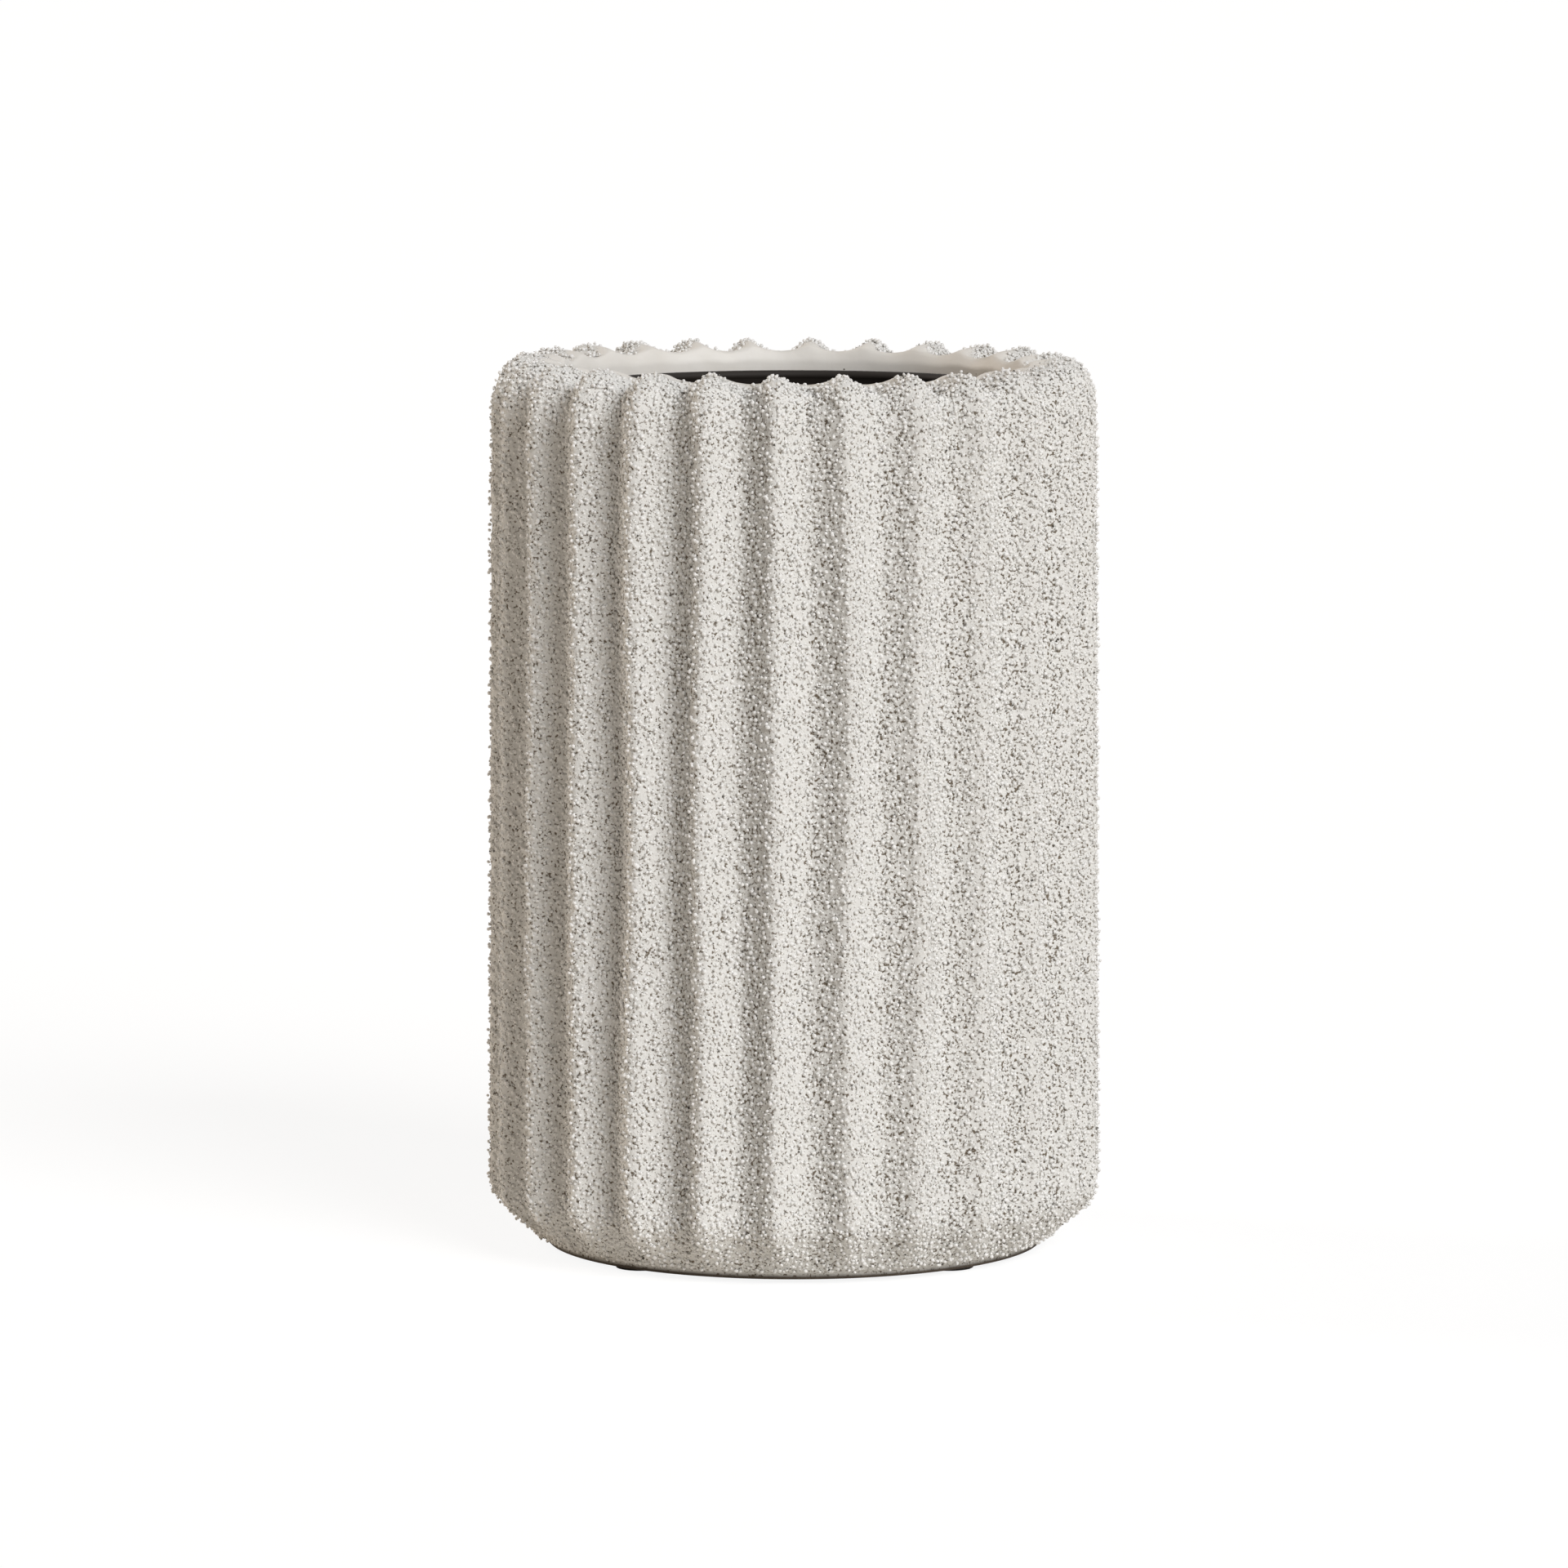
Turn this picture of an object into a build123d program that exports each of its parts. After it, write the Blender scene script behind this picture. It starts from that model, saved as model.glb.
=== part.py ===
"""Fluted stoneware vase with a lift-out water liner and felt dots under its foot."""

import math
import os

from build123d import *

os.makedirs("parts", exist_ok=True)

# All sizes are in millimetres, angles in degrees. The vase stands on Z = 0.

# Whole vase
TOTAL_HEIGHT = 217.6
WALL_RADIUS_LOW = 75.3
WALL_RADIUS_HIGH = 74.1

# Flutes
FLUTE_COUNT = 26
FLUTE_DEPTH = 5.0
RIDGE_TURN = -93.8
STEPS_PER_FLUTE = 10
WALL_STEPS = 6

# Overtones of a flute's wave: the second narrows the ridge on wall and rim, the third straightens the flanks
RIDGE_NARROWING = 0.16
RIM_NARROWING = 0.0
FLANK_STRAIGHTNESS = 0.067

# Uneven handwork: sideways sway of the ridges, and share of the depth that comes and goes
RIDGE_SWAY = 0.6
DEPTH_SWAY = 0.1
SWAY_LENGTH = 130.0
RIDGE_SWAY_WAVES = 7
DEPTH_SWAY_WAVES = 5
SWAY_WAVE_GAP = 4

# Tilt of the rim: how far its low side hangs, where that side faces, and the height from which the tilt grows
RIM_TILT = 1.4
RIM_LOW_TURN = -60.0
TILT_BASE = 140.0

# Rim
SHOULDER_WIDTH = 8.0
SHOULDER_HEIGHT = 14.0
CROWN_DROP = 3.4
CROWN_POWER = 3.0
CROWN_OVERRUN = 0.6
COLLAR_RADIUS = 55.6
COLLAR_HEIGHT = 10.0

# Bevel and foot
BEVEL_ANGLE = 39.0
BEVEL_WIDTH = 8.6
CORNER_RADIUS = 10.0
FOOT_STEP = 2.5
FOOT_WIDTH = 16.5
FOOT_HEIGHT = 1.6
FOOT_EDGE_ROUND = 0.6

# Inside of the body
WALL_THICKNESS = 8.0
FLOOR_THICKNESS = 9.4
COVE_HEIGHT = 12.0
HOLLOW_ROUND = 8.0

# Water liner
LINER_CLEARANCE = 2.4
LINER_TAPER = 3.0
LINER_WALL = 1.6
LINER_BASE = 2.0
LINER_BASE_ROUND = 5.0
LINER_BEAD_RADIUS = 1.2
LINER_BELOW_RIM = 7.8

# Felt dots
FELT_THICKNESS = 1.0
FELT_INSET = 1.65
FELT_COUNT = 4
FELT_TURN = 45.0

# Heights and radii that follow from the sizes above
bevel_base = FELT_THICKNESS + FOOT_HEIGHT
floor_top = bevel_base + FLOOR_THICKNESS
shoulder_base = TOTAL_HEIGHT - SHOULDER_HEIGHT
lip_height = TOTAL_HEIGHT - CROWN_DROP
collar_base = lip_height - COLLAR_HEIGHT
crown_radius = WALL_RADIUS_HIGH - SHOULDER_WIDTH
crown_width = crown_radius - COLLAR_RADIUS + CROWN_OVERRUN
inner_radius = WALL_RADIUS_HIGH - FLUTE_DEPTH - WALL_THICKNESS
corner_lean = BEVEL_ANGLE - 90.0
corner_centre_radius = WALL_RADIUS_LOW - CORNER_RADIUS
corner_start_radius = corner_centre_radius + CORNER_RADIUS * math.cos(math.radians(corner_lean))
corner_start_height = bevel_base + BEVEL_WIDTH * math.tan(math.radians(BEVEL_ANGLE))
wall_base = corner_start_height - CORNER_RADIUS * math.sin(math.radians(corner_lean))
bevel_radius = corner_start_radius - BEVEL_WIDTH
foot_outer_radius = bevel_radius - FOOT_STEP
foot_inner_radius = foot_outer_radius - FOOT_WIDTH
foot_middle_radius = foot_outer_radius - FOOT_WIDTH / 2
felt_radius = FOOT_WIDTH / 2 - FOOT_EDGE_ROUND - FELT_INSET
liner_top_radius = COLLAR_RADIUS - LINER_CLEARANCE - LINER_BEAD_RADIUS + LINER_WALL / 2
liner_base_radius = liner_top_radius - LINER_TAPER
bead_height = TOTAL_HEIGHT - LINER_BELOW_RIM - LINER_BEAD_RADIUS


def sway(place, height, waves):
    """Uneven handwork from -1 to 1, at a place counted in flutes and a height."""
    across = 2 * math.pi * place / FLUTE_COUNT
    up = 2 * math.pi * height / SWAY_LENGTH
    return (math.sin(waves * across + up) + math.sin((waves + SWAY_WAVE_GAP) * across - up)) / 2


def rim_drop(turn, height):
    """How far the rim's tilt lowers a place, growing from nothing below the tilt's base."""
    share = min(max((height - TILT_BASE) / (shoulder_base - TILT_BASE), 0), 1)
    lowness = (1 + math.cos(turn - math.radians(RIM_LOW_TURN))) / 2
    return RIM_TILT * share**2 * (3 - 2 * share) * lowness


def flute_wave(share, narrowing):
    """Wave at a share of a flute's width, from 0 in the valleys at its sides to 1 on the ridge."""
    across = 2 * math.pi * (share - 1 / 2)
    wave = math.cos(across) + narrowing * math.cos(2 * across) + FLANK_STRAIGHTNESS * math.cos(3 * across)
    valley = -1 + narrowing - FLANK_STRAIGHTNESS
    return (wave - valley) / (2 + 2 * FLANK_STRAIGHTNESS)


def ring(radius, height, lean, depth, narrowing=RIDGE_NARROWING):
    """Closed wavy ring, one spline per flute. Ridges lie at radius and height, and valleys sink in."""
    pitch = 2 * math.pi / FLUTE_COUNT
    shares = [step / STEPS_PER_FLUTE for step in range(STEPS_PER_FLUTE + 1)]
    splines = []
    for flute in range(FLUTE_COUNT):
        points, turns = [], []
        for share in shares:
            place = flute - 1 / 2 + share
            aside = RIDGE_SWAY * sway(place, height, RIDGE_SWAY_WAVES) / WALL_RADIUS_LOW
            turn = math.radians(RIDGE_TURN) + place * pitch + aside
            deeper = 1 + DEPTH_SWAY * sway(place, height, DEPTH_SWAY_WAVES)
            sink = depth * deeper * (1 - flute_wave(share, narrowing))
            out = radius - sink * math.cos(math.radians(lean))
            drop = rim_drop(turn, height) * depth / FLUTE_DEPTH
            rise = height - sink * math.sin(math.radians(lean)) - drop
            points.append((out * math.cos(turn), out * math.sin(turn), rise))
            turns.append(turn)
        ends = [(-math.sin(turn), math.cos(turn)) for turn in (turns[0], turns[-1])]
        splines.append(Edge.make_spline(points, tangents=ends, parameters=shares))
    return Wire(splines)


def grown(height):
    """Flute depth on the bevel and corner, from nothing at the bevel's foot to full at the wall."""
    return FLUTE_DEPTH * math.sin(math.pi / 2 * (height - bevel_base) / (wall_base - bevel_base)) ** 2


def bevel_ring(share):
    """Ring at a share of the straight bevel, from its foot to the corner."""
    radius = bevel_radius + share * BEVEL_WIDTH
    height = bevel_base + share * (corner_start_height - bevel_base)
    return ring(radius, height, corner_lean, grown(height))


def corner_ring(share):
    """Ring at a share of the rounded corner between bevel and wall."""
    lean = corner_lean * (1 - share)
    radius = corner_centre_radius + CORNER_RADIUS * math.cos(math.radians(lean))
    height = wall_base + CORNER_RADIUS * math.sin(math.radians(lean))
    return ring(radius, height, lean, grown(height))


def wall_ring(share):
    """Ring at a share of the nearly straight wall."""
    radius = WALL_RADIUS_LOW + share * (WALL_RADIUS_HIGH - WALL_RADIUS_LOW)
    return ring(radius, wall_base + share * (shoulder_base - wall_base), 0, FLUTE_DEPTH)


def shoulder_ring(share):
    """Ring at a share of the oval shoulder between wall and rim, where the ridges grow broader."""
    angle = share * math.pi / 2
    radius = crown_radius + SHOULDER_WIDTH * math.cos(angle)
    height = shoulder_base + SHOULDER_HEIGHT * math.sin(angle)
    lean = math.atan2(math.sin(angle) / SHOULDER_HEIGHT, math.cos(angle) / SHOULDER_WIDTH)
    narrowing = RIDGE_NARROWING + share * (RIM_NARROWING - RIDGE_NARROWING)
    return ring(radius, height, math.degrees(lean), FLUTE_DEPTH, narrowing)


def crown_ring(share):
    """Ring at a share of the flat crown, where the flutes fade out towards the lip."""
    angle = share * math.pi / 2
    across = math.sin(angle) ** (2 / CROWN_POWER)
    up = math.cos(angle) ** (2 / CROWN_POWER)
    lean = math.atan2(up ** (CROWN_POWER - 1) / CROWN_DROP, -(across ** (CROWN_POWER - 1)) / crown_width)
    radius = crown_radius - crown_width * across
    height = lip_height + CROWN_DROP * up
    return ring(radius, height, math.degrees(lean), FLUTE_DEPTH * math.cos(angle) ** 2, RIM_NARROWING)


base_rings = [bevel_ring(share) for share in (0, 1 / 3, 2 / 3, 1)]
base_rings += [corner_ring(share) for share in (1 / 3, 2 / 3, 1)]
wall_rings = [wall_ring(step / WALL_STEPS) for step in range(WALL_STEPS + 1)]
shoulder_rings = [shoulder_ring(share) for share in (0, 1 / 4, 1 / 2, 3 / 4, 1)]
crown_rings = [crown_ring(share) for share in (0, 1 / 8, 1 / 4, 1 / 2, 3 / 4, 1)]

with BuildPart() as stoneware_body:
    # Fluted skin in four bands that share their end rings, closed flat at the bevel's foot and at the lip
    skin = [Face(base_rings[0]), Face(crown_rings[-1])]
    for band in (base_rings, wall_rings, shoulder_rings, crown_rings):
        skin += Shell.make_loft(band).faces()
    add(Solid(Shell(skin)))
    # Low foot ring under the bevel, with rounded lower edges
    with BuildSketch(Plane.XZ) as foot_profile:
        with Locations((foot_inner_radius, FELT_THICKNESS)):
            Rectangle(FOOT_WIDTH, FOOT_HEIGHT, align=Align.MIN)
        fillet(foot_profile.vertices().group_by(Axis.Z)[0], FOOT_EDGE_ROUND)
    revolve(axis=Axis.Z)
    # Hollow with a flat floor, coved in under the rim to a straight collar
    with BuildSketch(Plane.XZ):
        with BuildLine():
            hollow = FilletPolyline(
                (0, floor_top),
                (inner_radius, floor_top),
                (inner_radius, collar_base - COVE_HEIGHT),
                (COLLAR_RADIUS, collar_base),
                (COLLAR_RADIUS, TOTAL_HEIGHT),
                radius=HOLLOW_ROUND,
            )
            Polyline(hollow @ 1, (0, TOTAL_HEIGHT), hollow @ 0)
        make_face()
    revolve(axis=Axis.Z, mode=Mode.SUBTRACT)

stoneware_body.part.label = "stoneware_body"
export_step(stoneware_body.part, "parts/stoneware_body.step")

with BuildPart() as water_liner:
    # Tapered cup standing on the floor of the hollow, with a round bead along its top edge
    with BuildSketch(Plane.XZ):
        with BuildLine():
            outside = FilletPolyline(
                (0, floor_top),
                (liner_base_radius, floor_top),
                (liner_top_radius, bead_height),
                radius=LINER_BASE_ROUND,
            )
            inside = FilletPolyline(
                (liner_top_radius - LINER_WALL, bead_height),
                (liner_base_radius - LINER_WALL, floor_top + LINER_BASE),
                (0, floor_top + LINER_BASE),
                radius=LINER_BASE_ROUND - LINER_WALL,
            )
            Line(outside @ 1, inside @ 0)
            Line(inside @ 1, outside @ 0)
        make_face()
        with Locations((liner_top_radius - LINER_WALL / 2, bead_height)):
            Circle(LINER_BEAD_RADIUS)
    revolve(axis=Axis.Z)

water_liner.part.label = "water_liner"
export_step(water_liner.part, "parts/water_liner.step")

felt_places = PolarLocations(foot_middle_radius, FELT_COUNT, start_angle=FELT_TURN).locations

for number, place in enumerate(felt_places, start=1):
    with BuildPart(place) as felt_dot:
        Cylinder(felt_radius, FELT_THICKNESS, align=(Align.CENTER, Align.CENTER, Align.MIN))
    felt_dot.part.label = f"felt_dot_{number}"
    export_step(felt_dot.part, f"parts/felt_dot_{number}.step")
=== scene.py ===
"""Fluted gritty stoneware vase with a lift-out water liner on felt dots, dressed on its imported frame."""

import logging
import math
from dataclasses import dataclass
from enum import Enum
from functools import cached_property
from typing import Any

import bmesh
import bpy
import numpy as np
from mathutils import Matrix, Vector


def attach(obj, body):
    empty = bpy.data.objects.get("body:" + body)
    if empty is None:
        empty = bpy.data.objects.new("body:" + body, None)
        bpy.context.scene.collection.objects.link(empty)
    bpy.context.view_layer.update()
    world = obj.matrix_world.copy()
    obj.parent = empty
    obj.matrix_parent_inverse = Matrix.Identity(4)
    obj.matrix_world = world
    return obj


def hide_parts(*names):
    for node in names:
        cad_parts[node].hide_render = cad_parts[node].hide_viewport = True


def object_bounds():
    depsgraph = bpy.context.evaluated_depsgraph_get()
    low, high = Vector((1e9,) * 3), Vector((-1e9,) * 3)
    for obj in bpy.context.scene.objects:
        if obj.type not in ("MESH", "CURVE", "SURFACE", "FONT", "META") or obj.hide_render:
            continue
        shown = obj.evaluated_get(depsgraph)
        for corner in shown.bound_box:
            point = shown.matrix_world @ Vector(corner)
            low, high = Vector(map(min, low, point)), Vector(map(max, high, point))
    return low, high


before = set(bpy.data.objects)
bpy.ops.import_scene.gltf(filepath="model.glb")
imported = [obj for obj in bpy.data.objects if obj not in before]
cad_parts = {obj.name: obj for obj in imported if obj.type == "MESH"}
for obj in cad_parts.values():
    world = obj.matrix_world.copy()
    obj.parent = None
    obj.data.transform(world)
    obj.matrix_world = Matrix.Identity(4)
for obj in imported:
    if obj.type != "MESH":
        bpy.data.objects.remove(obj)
cad_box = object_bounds()

log = logging.getLogger("vase")

# Sizes are in millimetres and angles in degrees where nothing else is said, and Blender takes metres
MM = 0.001
MERGE_DISTANCE = 0.001 * MM
BAKE_MAP = "OFBake"
ROW = "row"

# Short names for types. A profile holds the radius and height of each point, in millimetres
Array = np.ndarray
Inputs = dict[str | int, Any]
Material, Mesh, Object = bpy.types.Material, bpy.types.Mesh, bpy.types.Object
Node, Socket, Tree = bpy.types.Node, bpy.types.NodeSocket, bpy.types.NodeTree
Pair = tuple[float, float]
Profile = list[Pair]


class Body(Enum):
    """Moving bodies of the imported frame."""

    VASE = "vase"
    LINER = "liner"


class Slot(Enum):
    """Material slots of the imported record."""

    STONEWARE = "gritty_stoneware"
    LINER = "moulded_liner"
    FELT = "pressed_felt"


class GrainForm(Enum):
    """Forms of a sand grain, each with its number of faces."""

    ROUNDED = 20
    ANGULAR = 8


def linear(colour: str) -> tuple[float, float, float, float]:
    """Turns an sRGB hex colour into linear values.

    Args:
        colour: Hex colour such as "#DCDAD6".

    Returns:
        Linear red, green, blue and an alpha of 1.
    """
    shares = [int(colour[at : at + 2], 16) / 255 for at in (1, 3, 5)]
    parts = [s / 12.92 if s <= 0.04045 else ((s + 0.055) / 1.055) ** 2.4 for s in shares]
    return parts[0], parts[1], parts[2], 1.0


def per_metre(size_mm: float) -> float:
    """Texture scale whose pattern repeats about every size_mm on Object coordinates."""
    return 1 / (size_mm * MM)


def add_node(tree: Tree, kind: str, inputs: Inputs, **settings: Any) -> Node:
    """Adds one node with its settings, and sets or links its inputs.

    Args:
        tree: Node tree that gets the node.
        kind: Node type without its ShaderNode prefix.
        inputs: Input name or number to a value, or to the output socket to link.
        settings: Properties of the node.

    Returns:
        The new node.
    """
    node = tree.nodes.new(f"ShaderNode{kind}")
    for name, value in settings.items():
        setattr(node, name, value)
    for key, value in inputs.items():
        if isinstance(value, Socket):
            tree.links.new(value, node.inputs[key])
        else:
            node.inputs[key].default_value = value
    return node


def attribute(tree: Tree, name: str) -> Socket:
    """Reads a number that a piece's mesh keeps at each vertex."""
    return add_node(tree, "Attribute", {}, attribute_name=name).outputs["Fac"]


def noise(tree: Tree, size_mm: float, detail: float, distortion: float = 0.0) -> Socket:
    """Adds a cloudy pattern on Object coordinates.

    Args:
        tree: Node tree that gets the pattern.
        size_mm: Size of its clouds in millimetres.
        detail: How many finer layers it has.
        distortion: How far its clouds are drawn out.

    Returns:
        Output socket of the pattern.
    """
    place = add_node(tree, "TexCoord", {}).outputs["Object"]
    look = {"Scale": per_metre(size_mm), "Detail": detail, "Distortion": distortion}
    return add_node(tree, "TexNoise", {"Vector": place} | look).outputs["Fac"]


def ranged(tree: Tree, value: Socket, source: Pair, target: Pair = (0.0, 1.0)) -> Socket:
    """Adds a straight change of a value from one range to another, held at both ends."""
    inputs = {"Value": value, 1: source[0], 2: source[1], 3: target[0], 4: target[1]}
    return add_node(tree, "MapRange", inputs).outputs[0]


def mixed(tree: Tree, share: Socket, first: str | Socket, second: str | Socket) -> Socket:
    """Adds a mix of two hex colours or sockets, all first where the share is 0."""
    ends = [linear(end) if isinstance(end, str) else end for end in (first, second)]
    return add_node(tree, "Mix", {0: share, 6: ends[0], 7: ends[1]}, data_type="RGBA").outputs[2]


def added_share(tree: Tree, value: Socket, share: float, base: Socket) -> Socket:
    """Adds a share of one value to another."""
    return add_node(tree, "Math", {0: value, 1: share, 2: base}, operation="MULTIPLY_ADD").outputs[0]


def bump(tree: Tree, height: Socket, strength: float, depth_mm: float) -> Socket:
    """Adds a fine relief that is too shallow for the mesh."""
    inputs = {"Height": height, "Strength": strength, "Distance": depth_mm * MM}
    return add_node(tree, "Bump", inputs).outputs[0]


def blank_material(name: str) -> tuple[Material, Tree]:
    """Starts a node material.

    Args:
        name: Name of the material.

    Returns:
        The material and its empty node tree.
    """
    material = bpy.data.materials.new(name)
    material.use_nodes = True
    material.node_tree.nodes.clear()
    return material, material.node_tree


def shade(tree: Tree, inputs: Inputs) -> None:
    """Adds the surface's shader and the material's output."""
    shader = add_node(tree, "BsdfPrincipled", inputs)
    add_node(tree, "OutputMaterial", {"Surface": shader.outputs[0]})


def placed(name: str, data: bpy.types.ID) -> Object:
    """Puts a mesh, lamp or camera in the scene.

    Args:
        name: Name of the object.
        data: The mesh, lamp or camera.

    Returns:
        The new object, at the origin.
    """
    holder = bpy.data.objects.new(name, data)
    bpy.context.scene.collection.objects.link(holder)
    return holder


def as_piece(shape: bmesh.types.BMesh, name: str) -> Object:
    """Turns a finished bmesh into a smooth shaded object in the scene.

    Args:
        shape: Finished bmesh, which is freed.
        name: Name of the piece and its mesh.

    Returns:
        The new object, at the origin.
    """
    mesh = bpy.data.meshes.new(name)
    shape.to_mesh(mesh)
    shape.free()
    mesh.shade_smooth()
    return placed(name, mesh)


def dress(piece: Object, material: Material, body: Body) -> None:
    """Gives a piece its material and body.

    Args:
        piece: Piece to dress.
        material: Material that it wears.
        body: Body that it rides on.
    """
    piece.data.materials.clear()
    piece.data.materials.append(material)
    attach(piece, body.value)
    log.info("%s: %d faces", piece.name, len(piece.data.polygons))


def read(items: bpy.types.bpy_prop_collection, name: str, kind: type, width: int = 1) -> Array:
    """Reads one value of every item in a list of a mesh.

    Args:
        items: Vertices, corners, faces or attribute values.
        name: Name of the value.
        kind: Type of its numbers.
        width: How many numbers it has.

    Returns:
        The numbers, one item after the other.
    """
    values = np.empty(len(items) * width, kind)
    items.foreach_get(name, values)
    return values


def places_of(mesh: Mesh) -> Array:
    """Places of a mesh's vertices in millimetres, one row of three per vertex."""
    return read(mesh.vertices, "co", np.float32, 3).reshape(-1, 3).astype(float) / MM


def move_to(mesh: Mesh, places: Array) -> None:
    """Moves a mesh's vertices, inside the box of the CAD model.

    Args:
        mesh: Mesh whose vertices move.
        places: New places in millimetres, one row per vertex.
    """
    low, high = (np.array(corner) for corner in cad_box)
    inside = np.clip(places * MM, low, high)
    mesh.vertices.foreach_set("co", inside.astype(np.float32).ravel())
    mesh.update()


def write_values(mesh: Mesh, name: str, values: Array) -> None:
    """Writes one number per vertex as an attribute that materials read."""
    layer = mesh.attributes.new(name, "FLOAT", "POINT")
    layer.data.foreach_set("value", values.astype(np.float32))


def write_map(mesh: Mesh, corners: Array) -> None:
    """Writes one place per face corner as the piece's own flat map."""
    layer = mesh.uv_layers.new(name=BAKE_MAP, do_init=False)
    layer.uv.foreach_set("vector", corners.astype(np.float32).ravel())


def eased(low: float, high: float, value: Array) -> Array:
    """Share from 0 at low to 1 at high, eased at both ends."""
    share = np.clip((value - low) / (high - low), 0, 1)
    return share * share * (3 - 2 * share)


def arc_points(centre: Pair, radius: float, start: float, end: float, steps: int) -> Profile:
    """Draws an arc of a profile in steps between two angles in degrees."""
    angles = np.radians(np.linspace(start, end, steps + 1))
    return [(centre[0] + radius * math.cos(a), centre[1] + radius * math.sin(a)) for a in angles]


def spun(profile: Profile, turn: float, steps: int) -> bmesh.types.BMesh:
    """Turns a profile round the vase's axis into a closed skin.

    Args:
        profile: Radius and height of each point, from the axis to the axis.
        turn: Angle in radians at which the first copy stands.
        steps: Number of steps round the full turn.

    Returns:
        The skin, with doubles merged, faces turned outwards and each point's number kept in a vertex layer.
    """
    shape = bmesh.new()
    row = shape.verts.layers.int.new(ROW)
    line = []
    for number, (radius, height) in enumerate(profile):
        out = radius * MM
        vertex = shape.verts.new((out * math.cos(turn), out * math.sin(turn), height * MM))
        vertex[row] = number
        line.append(vertex)
    edges = [shape.edges.new(pair) for pair in zip(line, line[1:])]
    full = {"cent": (0, 0, 0), "axis": (0, 0, 1), "angle": 2 * math.pi, "use_merge": True}
    bmesh.ops.spin(shape, geom=line + edges, steps=steps, **full)
    bmesh.ops.remove_doubles(shape, verts=shape.verts[:], dist=MERGE_DISTANCE)
    bmesh.ops.recalc_face_normals(shape, faces=shape.faces[:])
    return shape


@dataclass(frozen=True)
class HandSway:
    """Uneven handwork from -1 to 1 that comes and goes round the vase and up its wall."""

    flutes: int
    waves: int
    wave_gap: int = 4
    length: float = 130.0

    def at(self, place: Array, height: Array) -> Array:
        """Sway at places on the wall.

        Args:
            place: Place round the vase, counted in flutes.
            height: Height in millimetres.

        Returns:
            Sway of each place.
        """
        across = 2 * math.pi * place / self.flutes
        up = 2 * math.pi * height / self.length
        more = self.waves + self.wave_gap
        return (np.sin(self.waves * across + up) + np.sin(more * across - up)) / 2


@dataclass(frozen=True)
class OuterLine:
    """Line of a ridge from the bevel's foot to the lip. Each array has one value per point."""

    arc: Array
    radius: Array
    height: Array
    lean: Array
    depth: Array
    narrowing: Array
    inset: Array

    def at(self, name: str, arc: Array) -> Array:
        """Value of one of the arrays at lengths along the line."""
        return np.interp(arc, self.arc, getattr(self, name))


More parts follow.
